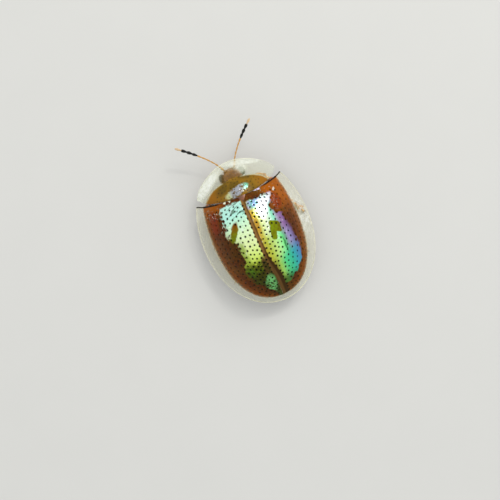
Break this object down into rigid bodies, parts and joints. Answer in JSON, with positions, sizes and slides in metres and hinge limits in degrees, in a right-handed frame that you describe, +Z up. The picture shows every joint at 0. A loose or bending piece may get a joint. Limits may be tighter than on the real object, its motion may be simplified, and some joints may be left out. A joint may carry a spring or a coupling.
{
  "type": "tortoise beetle",
  "caption": "Life-size tortoise beetle at rest: domed wing cases and pronotum with a flat brim all round, feelers spread, six feet on the ground.",
  "frame": {"origin": "on the floor, under the middle of the whole beetle's box", "axes": "+Z up, -Y the way the head points, +X the animal's left"},
  "size_m": [0.006, 0.0098, 0.0033],
  "materials": {
    "wing_case": "hard glossy shell, iridescent gold and green metallic over brown, with a clear brim",
    "pronotum": "clear glossy plate with a brown middle",
    "chitin": "satin brown",
    "eye": "glossy black",
    "feeler": "satin amber with black joints near the tip",
    "leg": "satin amber brown"
  },
  "bodies": {
    "root": {"elytron_left": "wing_case", "elytron_right": "wing_case", "scutellum": "chitin", "pronotum": "pronotum", "prosternum": "chitin", "thorax": "chitin", "abdomen": "chitin", "head": "chitin", "eye_left": "eye", "eye_right": "eye", "antenna_left": "feeler", "antenna_right": "feeler", "leg_front_left": "leg", "leg_front_right": "leg", "leg_mid_left": "leg", "leg_mid_right": "leg", "leg_hind_left": "leg", "leg_hind_right": "leg"}
  },
  "joints": []
}
